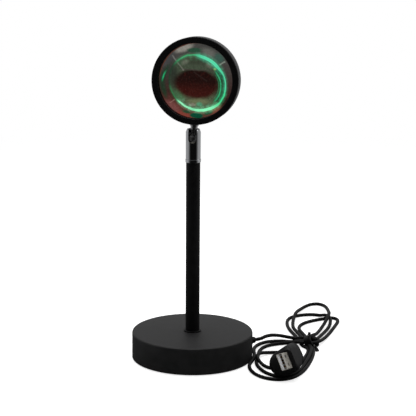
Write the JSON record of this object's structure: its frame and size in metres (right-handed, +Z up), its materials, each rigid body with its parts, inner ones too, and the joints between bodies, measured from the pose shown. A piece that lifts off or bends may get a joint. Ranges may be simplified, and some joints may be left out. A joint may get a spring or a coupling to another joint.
{
  "type": "projection lamp",
  "caption": "Table lamp with a drum-shaped projector head on a slim pole, a slotted ball joint, a round weighted base and a USB cord tied in a hank.",
  "frame": {"origin": "centre of the base's underside, on the pole's axis", "axes": "+Z up the pole, -Y towards the side that the lens and the joint's slot face, +X towards the cord's exit"},
  "size_m": [0.148, 0.2169, 0.2413],
  "materials": {
    "powder_black": "matte powder coat",
    "weight_iron": "as cast",
    "zinc_steel": "zinc plated",
    "spring_steel": "bright drawn",
    "joint_chrome": "dark bright plating",
    "foam_black": "closed-cell foam",
    "cord_black": "satin",
    "grip_black": "fine moulded texture",
    "cup_white": "plain",
    "usb_metal": "bright",
    "usb_white": "plain",
    "contact_gold": "gold flash",
    "lens_glass": "coated",
    "filter_glass": "dichroic coating",
    "condenser_glass": "clear",
    "heat_aluminium": "black anodised",
    "shroud_black": "matte",
    "holder_black": "matte",
    "board_white": "solder mask",
    "led_yellow": "phosphor under silicone",
    "wire_plastic": "plain",
    "screw_black": "black oxide"
  },
  "bodies": {
    "base": {"base_shell": "powder_black", "base_weight": "weight_iron", "base_plate": "zinc_steel", "foot_pad": "foam_black", "plate_screws_set": "zinc_steel", "pole_nipple": "zinc_steel", "pole_nut": "zinc_steel", "pole_washer": "zinc_steel", "foot_collar": "powder_black", "pole": "powder_black", "cord_grommet": "cord_black", "cord_stop": "zinc_steel", "inner_lead": "cord_black", "socket_collar": "joint_chrome", "joint_spring": "spring_steel", "ball_cup": "cup_white", "socket_tube": "joint_chrome", "cord_lead": "cord_black", "cord_hank": "cord_black", "cord_tie": "cord_black", "cord_tail": "cord_black", "usb_grip": "grip_black", "usb_shell": "usb_metal", "usb_tongue": "usb_white", "usb_contacts": "contact_gold"},
    "ball": {"ball_stem": "joint_chrome"},
    "head": {"neck_nut": "joint_chrome", "inner_washer": "zinc_steel", "inner_nut": "zinc_steel", "drum": "powder_black", "front_ring": "powder_black", "lens": "lens_glass", "lens_gasket": "foam_black", "thin_ring": "holder_black", "filter_disc": "filter_glass", "split_ring": "spring_steel", "light_shroud": "shroud_black", "condenser": "condenser_glass", "condenser_holder": "holder_black", "led_board": "board_white", "led_chip": "led_yellow", "board_screws": "zinc_steel", "heat_sink": "heat_aluminium", "sink_screws": "screw_black", "head_wires": "wire_plastic"}
  },
  "joints": [
    {"name": "head_tilt", "type": "hinge", "parent": "base", "child": "ball", "pos_m": [0, 0, 0.1667], "axis": [0.9986, 0, -0.0523], "range_deg": [-6, 95]},
    {"name": "head_turn", "type": "hinge", "parent": "ball", "child": "head", "pos_m": [0, 0, 0.1667], "axis": [0.0521, 0.0872, 0.9948], "range_deg": [-170, 170]}
  ]
}
